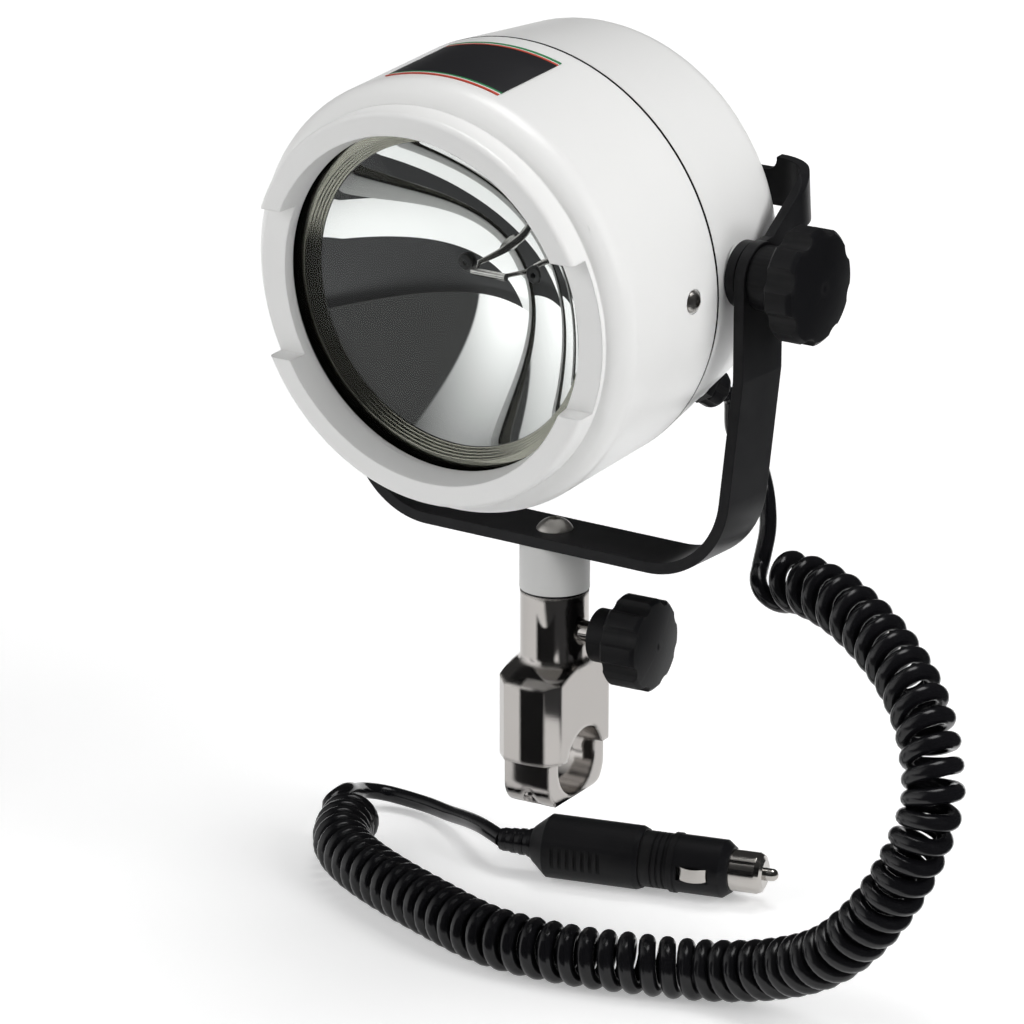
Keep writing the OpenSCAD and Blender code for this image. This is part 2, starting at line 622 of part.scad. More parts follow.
// Each post stands on a ferrule in the bowl, leans inwards and ends in a clip beside the filament
module filament_posts() on_head() color(steel) for (side = [-1, 1]) {
  translate([side * post_x, bowl_s(post_x) - bowl_wall / 2, 0]) rotate([-90, 0, 0])
    cylinder(d = ferrule_d, h = base_s - bowl_s(post_x) + bowl_wall / 2);
  rod_between([side * post_x, bowl_s(post_x), 0],
    [side * (filament_l / 2 + post_d), vertex_s - focus, 0], post_d);
  translate([side * (filament_l / 2 + seat / 2 + post_d), vertex_s - focus, 0])
    rod_x(filament_d / 2, -post_d, post_d);
}
module filament() on_head() color(brass) translate([0, vertex_s - focus, 0])
  rod_x(filament_d / 2, -filament_l / 2, filament_l / 2);
module lamp_terminals() on_head() color(brass) for (x = [-terminal_x, terminal_x])
  translate([x - 3, terminal_s, -1]) cube([6, terminal_l, 2]);
module lead_wires() on_head() color("#7a2020") for (side = [-1, 1]) let (end = terminal_s + terminal_l)
  swept([[side * terminal_x, end, 0], [side * terminal_x, end + 6, -1], [side * 3.5 + 8, end + 14, -14],
    [side * 2 + 18, (end + lead_end[1]) / 2 + 4, -33], lead_end + [side * 1.2, 0, side * 0.7]],
    2, 8, [0, 1, 0], gland_axis);

// Threaded inserts of the tilt axis
module pivot_inserts() on_head() color(brass) for (side = [0, 180]) rotate([0, side, 0]) difference() {
  rod_x(insert_d / 2, boss_x - insert_l, boss_x);
  rod_x(stud_d / 2 + run, boss_x - insert_l - 1, boss_x + 1);
}

// Rear handle: strap from both tilt bosses, rising behind the head
handle_bend = 20;
handle_round = 6;
handle_top = handle_rise + handle_w;
module handle_plan(w, y, bend, front) {
  translate([-w, -front]) square([2 * w, y - bend + front]);
  translate([-w + bend, -front]) square([2 * (w - bend), y + front]);
  for (side = [-1, 1]) translate([side * (w - bend), y - bend]) circle(r = bend);
}
module handle_side() {
  circle(d = handle_eye_d);
  polygon([[0, -9], [16, -9], [34, handle_rise], [handle_y + 1, handle_rise], [handle_y + 1, handle_top],
    [38, handle_top], [14, 9], [0, 9]]);
}
// Outline from behind: rounded upper corners and a dip between them
module handle_back() difference() {
  rotate(180) rounded_foot(eye_x + eps, -handle_top, 2 * handle_eye_d, handle_round);
  rounded_foot(eye_x - handle_bend, handle_top - handle_dip, handle_top + handle_dip, handle_dip * 0.9);
}
module rear_handle() on_head() color(black) difference() {
  intersection() {
    translate([0, 0, -handle_eye_d]) linear_extrude(height = 3 * handle_eye_d) difference() {
      handle_plan(eye_x, handle_y, handle_bend, handle_eye_d);
      handle_plan(eye_x - handle_t, handle_y - handle_t, handle_bend - handle_t, 2 * handle_eye_d);
    }
    rotate([90, 0, 90]) linear_extrude(height = 3 * eye_x, center = true) handle_side();
    rotate([90, 0, 0]) linear_extrude(height = 4 * handle_y, center = true) handle_back();
  }
  rod_x(stud_d / 2 + run, -2 * eye_x, 2 * eye_x);
}
module tilt_washers() on_head() color("#3a3a3c") for (side = [0, 180]) rotate([0, side, 0]) difference() {
  rod_x(strap_w / 2 - 2, eye_x + eps, eye_x + tilt_washer_t);
  rod_x(stud_d / 2 + run, eye_x - 1, eye_x + tilt_washer_t + 1);
}

// Cable gland on the rear corner: threaded body, inner nut and clamping dome
module gland_body() on_gland() color(black) difference() {
  union() {
    translate([0, 0, 0.2 - gland_in]) cylinder(d = gland_thread_d, h = gland_in + 0.8);
    translate([0, 0, 0.6]) cylinder(d = gland_thread_d + 4, h = 3.4, $fn = 6);
  }
  translate([0, 0, -13]) cylinder(d = wire_d + 0.4, h = 20);
}
module gland_nut() on_gland() color(black) difference() {
  translate([0, 0, -10]) cylinder(d = gland_thread_d + 5, h = 3, $fn = 6);
  translate([0, 0, -11]) cylinder(d = gland_thread_d + 2 * run, h = 5);
}
module gland_dome() on_gland() color(black) difference() {
  translate([0, 0, 4]) intersection() {
    star_grip(gland_thread_d + 3, gland_tip - 4, 6);
    rotate_extrude() {
      square([gland_thread_d / 2 + 1.5, gland_tip - 7]);
      translate([0, gland_tip - 7]) square([gland_thread_d / 2 - 1.5, 3]);
      translate([gland_thread_d / 2 - 1.5, gland_tip - 7]) circle(r = 3);
    }
  }
  translate([0, 0, 3]) cylinder(d = wire_d - 0.6, h = gland_tip - 3.6);
}

// Knobs with their studs
module tilt_knob_pair(side) on_head() rotate([0, side, 0]) translate([knob_x, 0, 0])
  knob(tilt_knob_d, tilt_hub_d, tilt_hub_l, tilt_knob_l, stud_bite);
module tilt_stud_pair(side) on_head() rotate([0, side, 0])
  rod_x(stud_d / 2, boss_x - insert_l + 1, knob_x + stud_bite);
module right_tilt_knob() color(black) tilt_knob_pair(0);
module left_tilt_knob() color(black) tilt_knob_pair(180);
module right_tilt_stud() color(steel) tilt_stud_pair(0);
module left_tilt_stud() color(steel) tilt_stud_pair(180);
module pan_knob() color(black) translate([pan_hub_x, 0, pan_z])
  knob(pan_knob_d, pan_hub_d, pan_hub_l, pan_knob_l, stud_bite);
module pan_stud() color(steel) translate([0, 0, pan_z])
  rod_x(stud_d / 2, groove_r + 3 * seat, pan_hub_x + stud_bite);

// Cord
module cord_pigtail() color(black) swept(pigtail_path, wire_d, 10, head_dir(gland_axis), coil_dir);
module cord_coil() color(black) swept(coil_path, coil_d, 12, coil_dir, coil_end_dir);
module cord_tail() color(black) swept(tail_path, wire_d, 10, coil_end_dir, plug_axis);

// Plug: boot, grip, nose, metal tip with its sprung pin, fuse and side contacts
nose_z = grip_l + neck_l;
tip_z = grip_l + nose_l;
plug_end = tip_z + tip_l;
fuse_z = tip_z - fuse_l;
tip_wall = 2;
flange_l = 2;
pin_z = plug_end - tip_wall - seat - flange_l;
fuse_bore = fuse_d + 2 * fuse_room;
slot_z = nose_z + 3.5;
rib_depth = 0.8;
rib_w = 10;
rib_pitch = 2.9;
rib_z = 9.5;
ring_groove = 0.4;
module plug_boot() on_plug() color(black) translate([0, 0, -boot_l]) {
  cylinder(d1 = wire_d + 2, d2 = boot_d - 1.2, h = boot_l);
  for (i = [0:3]) translate([0, 0, boot_l * (i + 0.35) / 4])
    cylinder(d = wire_d + 2.6 + 0.6 * i, h = boot_l / 8);
  translate([0, 0, boot_l * 0.9]) cylinder(d = boot_d, h = boot_l * 0.1);
}
module plug_grip() on_plug() color(black) difference() {
  rotate_extrude() polygon([[0, 0], [grip_d / 2 - 5, 0], [grip_d / 2, 6], [grip_d / 2, grip_l - 2],
    [grip_d / 2 - 0.8, grip_l], [0, grip_l]]);
  translate([0, 0, fuse_z]) cylinder(d = fuse_bore, h = grip_l);
  for (a = [90, 270], i = [0:6]) rotate([0, 0, a])
    translate([grip_d / 2 - rib_depth, -rib_w / 2, rib_z + i * rib_pitch])
      cube([2 * rib_depth, rib_w, rib_pitch / 2]);
}
module plug_nose() on_plug() color(black) difference() {
  rotate_extrude() polygon([[0, grip_l], [nose_d / 2 - 0.3, grip_l], [nose_d / 2 - 0.3, nose_z],
    [nose_d / 2 + 0.4, nose_z], [nose_d / 2 + 0.4, nose_z + 2], [nose_d / 2, nose_z + 2],
    [nose_d / 2, tip_z - 3], [nose_d / 2 - 2.2, tip_z], [0, tip_z]]);
  for (i = [1:3]) translate([0, 0, nose_z - 2.2 * i])
    ring(nose_d, nose_d / 2 - 0.3 - ring_groove, 0, 2 * ring_groove);
  translate([0, 0, grip_l - 1]) cylinder(d = fuse_bore, h = nose_l + 2);
  for (a = [90, 270]) rotate([0, 0, a]) translate([nose_d / 2 - slot_depth, -slot_w / 2, slot_z])
    cube([2 * slot_depth, slot_w, slot_l]);
}
module plug_tip() on_plug() color("#cfcac2") difference() {
  translate([0, 0, tip_z]) rotate_extrude() polygon([[0, 0], [tip_d / 2, 0], [tip_d / 2, tip_l - 2.5],
    [tip_d / 2 - 0.8, tip_l - 0.8], [tip_d / 2 - 2.5, tip_l], [0, tip_l]]);
  translate([0, 0, tip_z - 1]) cylinder(d = fuse_bore, h = tip_l + 1 - tip_wall);
  translate([0, 0, tip_z]) cylinder(d = pin_d + 2 * run, h = tip_l + 1);
}
module plug_pin() on_plug() color("#cfcac2") {
  translate([0, 0, pin_z]) cylinder(d = pin_d, h = plug_end + 2.5 - pin_z);
  translate([0, 0, plug_end + 2.5]) sphere(d = pin_d);
  translate([0, 0, pin_z]) cylinder(d = fuse_bore - 2 * seat, h = flange_l);
}
module plug_spring() on_plug() color(steel) ring(fuse_d / 2, fuse_d / 2 - 0.8, tip_z, pin_z);
module plug_fuse() on_plug() color("#cfcac2") translate([0, 0, fuse_z]) cylinder(d = fuse_d, h = fuse_l);
// A bowed leaf in a side slot: its crown stands above the nose and its ends lie over the slot's floor
module side_contact(a) on_plug() color("#cfcac2") rotate([0, 0, a]) translate([0, slot_w / 2 - seat, slot_z])
  rotate([90, 0, 0]) linear_extrude(height = slot_w - 2 * seat) polygon(concat(
    [for (i = [0:10]) [leaf_r(i / 10) + leaf_t, seat + (slot_l - 2 * seat) * i / 10]],
    [for (i = [10:-1:0]) [leaf_r(i / 10), seat + (slot_l - 2 * seat) * i / 10]]));
function leaf_r(u) = nose_d / 2 - slot_depth + leaf_gap
  + (slot_depth - leaf_gap + leaf_rise - leaf_t) * sin(180 * u);
module plug_contact_left() side_contact(90);
module plug_contact_right() side_contact(270);

clamp_body();
clamp_cap();
clamp_screws();
spigot();
spigot_screw();
pan_washer();
yoke();
front_shell();
rear_shell();
seam_gasket();
shell_screws();
lamp_gasket();
lens_glass();
reflector();
lamp_ring();
ring_screws();
lamp_base();
filament_posts();
filament();
lamp_terminals();
lead_wires();
pivot_inserts();
rear_handle();
tilt_washers();
gland_body();
gland_nut();
gland_dome();
left_tilt_knob();
left_tilt_stud();
right_tilt_knob();
right_tilt_stud();
pan_knob();
pan_stud();
cord_pigtail();
cord_coil();
cord_tail();
plug_boot();
plug_grip();
plug_nose();
plug_tip();
plug_pin();
plug_spring();
plug_fuse();
plug_contact_left();
plug_contact_right();
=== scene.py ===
"""Looks of the marine searchlight: finishes, curly cord, plug spring, lamp mirror, glass and label plate."""

import json
import math

import bmesh
import bpy
from mathutils import Matrix, Vector


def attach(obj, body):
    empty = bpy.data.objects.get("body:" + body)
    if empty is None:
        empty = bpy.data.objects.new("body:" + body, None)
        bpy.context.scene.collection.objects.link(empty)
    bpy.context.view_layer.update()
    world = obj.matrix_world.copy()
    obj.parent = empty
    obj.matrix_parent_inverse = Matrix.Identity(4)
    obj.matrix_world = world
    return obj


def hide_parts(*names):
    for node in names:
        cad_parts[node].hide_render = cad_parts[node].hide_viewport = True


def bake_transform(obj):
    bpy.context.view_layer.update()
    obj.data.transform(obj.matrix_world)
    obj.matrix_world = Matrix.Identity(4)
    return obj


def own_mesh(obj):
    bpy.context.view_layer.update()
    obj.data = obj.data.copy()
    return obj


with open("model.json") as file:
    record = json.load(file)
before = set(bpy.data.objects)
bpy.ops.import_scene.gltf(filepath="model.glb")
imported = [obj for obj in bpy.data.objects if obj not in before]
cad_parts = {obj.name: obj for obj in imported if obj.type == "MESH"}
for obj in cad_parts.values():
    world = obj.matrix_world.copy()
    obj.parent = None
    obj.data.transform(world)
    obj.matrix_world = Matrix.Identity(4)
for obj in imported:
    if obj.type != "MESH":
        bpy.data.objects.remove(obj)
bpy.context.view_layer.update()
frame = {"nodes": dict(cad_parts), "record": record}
nodes = frame["nodes"]

# Places that the part's frame gives, in mm, and its angles at rest
MM = 0.001
PAN_REST = math.radians(-4)
TILT_REST = math.radians(5)
PIVOT_Z = 188
FLOOR_Z = -61
SHARP_ANGLE = math.radians(35)

IN_YOKE = Matrix.Rotation(PAN_REST, 4, "Z")
IN_HEAD = IN_YOKE @ Matrix.Translation((0, 0, PIVOT_Z)) @ Matrix.Rotation(TILT_REST, 4, "X")

# Camera of the photograph: far away, a little above the light and to its right
CAMERA_PLACE = (0.9364, -1.5935, 0.7030)
CAMERA_DOWN = 18.355
CAMERA_ROUND = 30.90
CAMERA_LENS = 197.66
CAMERA_SENSOR = 36
CAMERA_NEAREST = 0.05


def make_camera():
    """The photograph's camera, without depth of field."""
    data = bpy.data.cameras.new("photo_camera")
    data.lens = CAMERA_LENS
    data.sensor_width = CAMERA_SENSOR
    data.clip_start = CAMERA_NEAREST
    data.dof.use_dof = False
    camera = bpy.data.objects.new("photo_camera", data)
    camera.location = CAMERA_PLACE
    camera.rotation_euler = (math.radians(90 - CAMERA_DOWN), 0, math.radians(CAMERA_ROUND))
    bpy.context.scene.collection.objects.link(camera)
    bpy.context.scene.camera = camera


make_camera()
bpy.context.scene.view_settings.view_transform = "Standard"


# Shader groups shared by several finishes
PATCH_SPREAD = (0.35, 0.65)
# The Mix node's sockets share their names, so they are taken by place
FLOAT_A, FLOAT_B, FLOAT_RESULT = 2, 3, 0
COLOR_A, COLOR_B, COLOR_RESULT = 6, 7, 2


def group_with_sockets(name, inputs, outputs):
    """A new shader group: inputs are (name, kind, default), outputs are (name, kind)."""
    group = bpy.data.node_groups.new(name, "ShaderNodeTree")
    kinds = {"float": "NodeSocketFloat", "color": "NodeSocketColor"}
    for socket_name, kind, default in inputs:
        socket = group.interface.new_socket(socket_name, in_out="INPUT", socket_type=kinds[kind])
        socket.default_value = default
    for socket_name, kind in outputs:
        group.interface.new_socket(socket_name, in_out="OUTPUT", socket_type=kinds[kind])
    return group, group.nodes.new("NodeGroupInput"), group.nodes.new("NodeGroupOutput")


def scaled_noise(group, given, scale_socket, detail):
    """Noise over the piece's own place in the object, at the group's scale."""
    place = group.nodes.new("ShaderNodeTexCoord")
    noise = group.nodes.new("ShaderNodeTexNoise")
    noise.inputs["Detail"].default_value = detail
    group.links.new(place.outputs["Object"], noise.inputs["Vector"])
    group.links.new(given.outputs[scale_socket], noise.inputs["Scale"])
    return noise


def make_handling():
    """Soft patches from handling: roughness between two values and a slight change of tone."""
    group, given, out = group_with_sockets(
        "handling",
        [("Scale", "float", 30.0), ("Smooth", "float", 0.2), ("Dull", "float", 0.3),
         ("Clean", "color", (1, 1, 1, 1)), ("Handled", "color", (0.9, 0.9, 0.9, 1))],
        [("Roughness", "float"), ("Tone", "color")],
    )
    noise = scaled_noise(group, given, "Scale", detail=5.0)
    spread = group.nodes.new("ShaderNodeMapRange")
    spread.inputs["From Min"].default_value = PATCH_SPREAD[0]
    spread.inputs["From Max"].default_value = PATCH_SPREAD[1]
    group.links.new(noise.outputs["Fac"], spread.inputs["Value"])
    group.links.new(given.outputs["Smooth"], spread.inputs["To Min"])
    group.links.new(given.outputs["Dull"], spread.inputs["To Max"])
    tone = group.nodes.new("ShaderNodeMix")
    tone.data_type = "RGBA"
    group.links.new(noise.outputs["Fac"], tone.inputs["Factor"])
    group.links.new(given.outputs["Clean"], tone.inputs[COLOR_A])
    group.links.new(given.outputs["Handled"], tone.inputs[COLOR_B])
    group.links.new(spread.outputs["Result"], out.inputs["Roughness"])
    group.links.new(tone.outputs[COLOR_RESULT], out.inputs["Tone"])
    return group


def make_skin():
    """Fine surface of a moulding or coating: the height for a bump."""
    group, given, out = group_with_sockets(
        "skin",
        [("Grain", "float", 900.0), ("Waves", "float", 60.0), ("Grain share", "float", 0.5)],
        [("Height", "float")],
    )
    grain = scaled_noise(group, given, "Grain", detail=3.0)
    waves = scaled_noise(group, given, "Waves", detail=1.0)
    mix = group.nodes.new("ShaderNodeMix")
    group.links.new(given.outputs["Grain share"], mix.inputs["Factor"])
    group.links.new(waves.outputs["Fac"], mix.inputs[FLOAT_A])
    group.links.new(grain.outputs["Fac"], mix.inputs[FLOAT_B])
    group.links.new(mix.outputs[FLOAT_RESULT], out.inputs["Height"])
    return group


def make_rubbed_edges():
    """Mask of convex edges that hands and washers have rubbed, broken up by noise."""
    group, given, out = group_with_sockets(
        "rubbed_edges",
        [("Scale", "float", 120.0), ("Start", "float", 0.53), ("End", "float", 0.6)],
        [("Mask", "float")],
    )
    noise = scaled_noise(group, given, "Scale", detail=4.0)
    shape = group.nodes.new("ShaderNodeNewGeometry")
    edge = group.nodes.new("ShaderNodeMapRange")
    group.links.new(shape.outputs["Pointiness"], edge.inputs["Value"])
    group.links.new(given.outputs["Start"], edge.inputs["From Min"])
    group.links.new(given.outputs["End"], edge.inputs["From Max"])
    broken = group.nodes.new("ShaderNodeMath")
    broken.operation = "MULTIPLY"
    group.links.new(edge.outputs["Result"], broken.inputs[0])
    group.links.new(noise.outputs["Fac"], broken.inputs[1])
    group.links.new(broken.outputs["Value"], out.inputs["Mask"])
    return group


HANDLING = make_handling()
SKIN = make_skin()
RUBBED = make_rubbed_edges()

# Finishes
RELIEF_DEPTH = 0.5
POLISH_GRAIN = 2500.0
GLASS_IOR = 1.12


def new_finish(name):
    """A new material with its node tree and its shader."""
    material = bpy.data.materials.new(name)
    material.use_nodes = True
    return material, material.node_tree, material.node_tree.nodes["Principled BSDF"]


def place_group(tree, group, **values):
    """A shared group placed in a material, with its own values."""
    node = tree.nodes.new("ShaderNodeGroup")
    node.node_tree = group
    for key, value in values.items():
        node.inputs[key.replace("_", " ")].default_value = value
    return node


def moulded(
    name, color, handled, smooth, dull, grain=900.0, waves=60.0, grain_share=0.5, bump=0.08, specular=0.5,
    edge=0.4,
):
    """A moulded or coated surface: patches from handling, a fine skin and edges rounded by a radius in mm."""
    material, tree, shader = new_finish(name)
    patches = place_group(tree, HANDLING, Smooth=smooth, Dull=dull, Clean=(*color, 1), Handled=(*handled, 1))
    tree.links.new(patches.outputs["Tone"], shader.inputs["Base Color"])
    tree.links.new(patches.outputs["Roughness"], shader.inputs["Roughness"])
    skin = place_group(tree, SKIN, Grain=grain, Waves=waves, Grain_share=grain_share)
    relief = tree.nodes.new("ShaderNodeBump")
    relief.inputs["Strength"].default_value = bump
    relief.inputs["Distance"].default_value = RELIEF_DEPTH * MM
    rounding = tree.nodes.new("ShaderNodeBevel")
    rounding.inputs["Radius"].default_value = edge * MM
    tree.links.new(skin.outputs["Height"], relief.inputs["Height"])
    tree.links.new(rounding.outputs["Normal"], relief.inputs["Normal"])
    tree.links.new(relief.outputs["Normal"], shader.inputs["Normal"])
    shader.inputs["Specular IOR Level"].default_value = specular
    return material


def metal(name, color, handled, smooth, dull, waves=25.0, bump=0.02, edge=0.3, grain_share=0.15):
    """A polished or plated metal with faint waves from polishing."""
    material = moulded(name, color, handled, smooth, dull, POLISH_GRAIN, waves, grain_share, bump, edge=edge)
    material.node_tree.nodes["Principled BSDF"].inputs["Metallic"].default_value = 1.0
    return material


def rubbed(material, bare, scale=120.0):
    """Adds a lighter tone where edges are rubbed."""
    tree = material.node_tree
    shader = tree.nodes["Principled BSDF"]
    under = shader.inputs["Base Color"].links[0].from_socket
    mask = place_group(tree, RUBBED, Scale=scale)
    mix = tree.nodes.new("ShaderNodeMix")
    mix.data_type = "RGBA"
    mix.inputs[COLOR_B].default_value = (*bare, 1)
    tree.links.new(mask.outputs["Mask"], mix.inputs["Factor"])
    tree.links.new(under, mix.inputs[COLOR_A])
    tree.links.new(mix.outputs[COLOR_RESULT], shader.inputs["Base Color"])
    return material


def clear_glass(name, tint):
    """Clear glass with faint smears; its low IOR keeps a veil of light off what lies behind."""
    material, tree, shader = new_finish(name)
    shader.inputs["Base Color"].default_value = (*tint, 1)
    shader.inputs["Transmission Weight"].default_value = 1.0
    shader.inputs["IOR"].default_value = GLASS_IOR
    patches = place_group(tree, HANDLING, Scale=12.0, Smooth=0.0, Dull=0.012)
    tree.links.new(patches.outputs["Roughness"], shader.inputs["Roughness"])
    return material


FINISH = {
    "white_plastic": moulded(
        "white_moulding", (0.83, 0.83, 0.82), (0.827, 0.827, 0.817), smooth=0.28, dull=0.3, grain=1400,
        waves=45, bump=0.03, edge=0.8),
    "black_paint": rubbed(
        moulded(
            "black_coating", (0.006, 0.006, 0.007), (0.009, 0.009, 0.01), smooth=0.32, dull=0.42, grain=1800,
            waves=200, grain_share=0.6, bump=0.12, specular=0.12, edge=0.6),
        bare=(0.02, 0.02, 0.021)),
    "black_plastic": rubbed(
        moulded(
            "black_moulding", (0.005, 0.005, 0.006), (0.008, 0.008, 0.009), smooth=0.4, dull=0.5, grain=1600,
            waves=160, grain_share=0.6, bump=0.12, specular=0.15, edge=0.7),
        bare=(0.018, 0.018, 0.018)),
    "black_rubber": moulded(
        "cord_cover", (0.004, 0.004, 0.005), (0.006, 0.006, 0.007), smooth=0.14, dull=0.24, grain=1200,
        waves=220, grain_share=0.4, bump=0.06, specular=0.35),
    "grey_plastic": moulded(
        "grey_moulding", (0.62, 0.62, 0.61), (0.58, 0.58, 0.57), smooth=0.38, dull=0.48, grain=1800,
        waves=150, grain_share=0.6, bump=0.1),
    "stainless": metal(
        "polished_steel", (0.45, 0.43, 0.41), (0.42, 0.4, 0.385), smooth=0.03, dull=0.08, edge=0.6),
    "nickel": metal(
        "nickel_plate", (0.5, 0.48, 0.455), (0.45, 0.43, 0.41), smooth=0.1, dull=0.18, waves=60.0),
    "mirror_coat": metal(
        "bowl_coating", (0.88, 0.88, 0.88), (0.85, 0.85, 0.85), smooth=0.0, dull=0.02, waves=14.0, bump=0.03,
        edge=0.0, grain_share=0.0),
    "clear_glass": clear_glass("lens_glass", (0.97, 0.985, 0.975)),
    "ceramic": moulded("ceramic", (0.62, 0.60, 0.55), (0.56, 0.54, 0.5), smooth=0.5, dull=0.6),
    "lamp_wire": metal("lamp_wire", (0.55, 0.54, 0.52), (0.46, 0.45, 0.44), smooth=0.15, dull=0.25),
    "brass": metal("brass", (0.72, 0.55, 0.24), (0.62, 0.46, 0.2), smooth=0.2, dull=0.3),
    "lead_cover": moulded("lead_cover", (0.3, 0.02, 0.02), (0.26, 0.02, 0.02), smooth=0.4, dull=0.5),
    "fibre": moulded("fibre_washer", (0.03, 0.03, 0.03), (0.04, 0.04, 0.04), smooth=0.6, dull=0.7),
    "fuse_body": clear_glass("fuse_glass", (0.92, 0.94, 0.93)),
}

# Finishes of single pieces
BLOCK_STEEL = metal("block_steel", (0.45, 0.43, 0.41), (0.42, 0.4, 0.385), smooth=0.03, dull=0.07, edge=2.0)
RIM_BEADS = metal("rim_beads", (0.28, 0.275, 0.235), (0.22, 0.215, 0.185), smooth=0.04, dull=0.1, edge=0.0)
RIM_RUBBER = moulded("rim_rubber", (0.045, 0.044, 0.037), (0.06, 0.058, 0.05), smooth=0.4, dull=0.5)
DARK_SEAL = moulded("dark_seal", (0.012, 0.012, 0.012), (0.02, 0.02, 0.02), smooth=0.3, dull=0.4)
SCREW_STEEL = metal("screw_steel", (0.6, 0.58, 0.55), (0.52, 0.5, 0.47), smooth=0.3, dull=0.42)
OWN_FINISH = {
    "clamp_body": BLOCK_STEEL,
    "clamp_cap": BLOCK_STEEL,
    "lamp_gasket": RIM_RUBBER,
    "shell_screws": SCREW_STEEL,
    "spigot_screw": SCREW_STEEL,
}
SLOT_OF = {row["node"]: row["material_slot"] for row in frame["record"]["subparts"]}


def dress_nodes():
    """Each solid gets its own finish, or else that of its slot."""
    for name, piece in nodes.items():
        piece.data.materials.clear()
        piece.data.materials.append(OWN_FINISH.get(name, FINISH[SLOT_OF[name]]))


dress_nodes()


# Mesh helpers


def add_piece(name, points, faces, finish, body):
    """A new mesh in the object's frame, in metres, riding on a body."""
    mesh = bpy.data.meshes.new(name)
    mesh.from_pydata([tuple(p) for p in points], [], faces)
    mesh.validate()
    solid = bmesh.new()
    solid.from_mesh(mesh)
    bmesh.ops.recalc_face_normals(solid, faces=solid.faces)
    solid.to_mesh(mesh)
    solid.free()
    mesh.shade_smooth()
    mesh.set_sharp_from_angle(angle=SHARP_ANGLE)
    mesh.materials.append(finish)
    piece = bpy.data.objects.new(name, mesh)
    bpy.context.scene.collection.objects.link(piece)
    if body:
        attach(piece, body)
    return piece


def ring_faces(rings, sides):
    """Faces between rings of points, with flat end caps."""
    faces = [tuple(range(sides))[::-1], tuple((rings - 1) * sides + k for k in range(sides))]
    for i in range(rings - 1):
        a, b = i * sides, (i + 1) * sides
        faces += [(a + k, a + (k + 1) % sides, b + (k + 1) % sides, b + k) for k in range(sides)]
    return faces


def turned_piece(name, profile, middle, finish, body, sides=128):
    """A closed profile of (radius, distance back) in mm, turned about the head's axis moved to middle."""
    points, rings = [], []
    for radius, back in profile:
        spread = sides if radius else 1
        rings.append([len(points) + k % spread for k in range(sides)])
        for k in range(spread):
            a = 2 * math.pi * k / sides
            on_ring = Vector((radius * math.cos(a), back, radius * math.sin(a)))
            points.append(MM * (IN_HEAD @ (Vector(middle) + on_ring)))
    faces = []
    for a, b in zip(rings, rings[1:] + rings[:1]):
        for k in range(sides):
            corners = [a[k], a[(k + 1) % sides], b[(k + 1) % sides], b[k]]
            face = tuple(dict.fromkeys(corners))
            if len(face) > 2:
                faces.append(face)
    return add_piece(name, points, faces, finish, body)


# Curly cord, in mm: the coil and the wire to it have the solids' routes, the tail lies within 8 mm of its own
WIRE_D = 6.0
WIRE_SIDE = (1, 0, 0)
WIRE_SIDES = 14
ROUTE_STEP = 2.0
# Coil: its turns, the side where they start, and how far its start is drawn apart by its own weight
COIL_D = 21.5
COIL_STEP = 0.28
COIL_GUIDE = 5.0
COIL_SIDE = (-0.557, -0.466, 0.687)
TURN_PITCH = 6.8
SLACK_TURNS = 5.65
SLACK_REACH = 100.0
COIL_ROUTE = [
    (77, 18.5, 70.5), (84, 16, 74.5), (98, 9, 76), (114, 0, 75), (131, -10, 70.5), (146, -20, 64),
    (158, -30, 56), (166, -38, 45), (170, -44, 31), (167, -48, 16), (160, -50, 0), (149, -50, -16),
    (133, -47, -31), (110, -40, -43), (84, -38, -50), (58, -46, -50), (32, -51, -50), (3, -50, -50),
    (-28, -38, -50), (-54, -26, -50), (-73, -15, -50), (-86, -4, -50), (-94, 9, -50), (-98, 22, -50),
]
PIGTAIL_ROUTE = [(43, 50, 113), (50, 48, 108), (58, 41, 105), (65, 32, 102), (69, 27, 96), (70.5, 24.5, 88)]
TAIL_ROUTE = [
    (-106, 29, -44.5), (-110, 42, -49.5), (-112, 52, -53), (-106, 59, -55.5), (-90, 59, -56.5),
    (-76, 52.5, -55), (-64, 44.5, -52), (-54, 37, -49.5), (-46, 31.5, -48.5),
]
# Plug: the rear end of its grip, its direction, and the boot before it
PLUG_START = Vector((-26, 31, -49.4))
PLUG_TURN = math.radians(11)
PLUG_AXIS = Vector((math.cos(PLUG_TURN), math.sin(PLUG_TURN), 0))
BOOT_L = 13
# Spring behind the plug's pin, from the fuse to the pin's flange, measured from the grip's rear end
SPRING_FROM = 75.0
SPRING_TO = 82.9
SPRING_D = 6.35
SPRING_WIRE = 0.8
SPRING_TURNS = 4
SPRING_STEPS = 96
SPRING_SIDES = 8
# Gland on the rear corner of the head: its angle, its foot in the head's frame, and its length
GLAND_ANGLE = math.radians(-61)
GLAND_R = 66.2
GLAND_S = 35.7
GLAND_TIP = 11
GLAND_GUIDE = 6.0


def gland_line():
    """Where the wire leaves the gland, and its direction there."""
    half = math.sqrt(0.5)
    axis = Vector((math.cos(GLAND_ANGLE) * half, half, math.sin(GLAND_ANGLE) * half))
    base = Vector((GLAND_R * math.cos(GLAND_ANGLE), GLAND_S, GLAND_R * math.sin(GLAND_ANGLE)))
    return IN_HEAD @ (base + GLAND_TIP * axis), (IN_HEAD.to_3x3() @ axis).normalized()


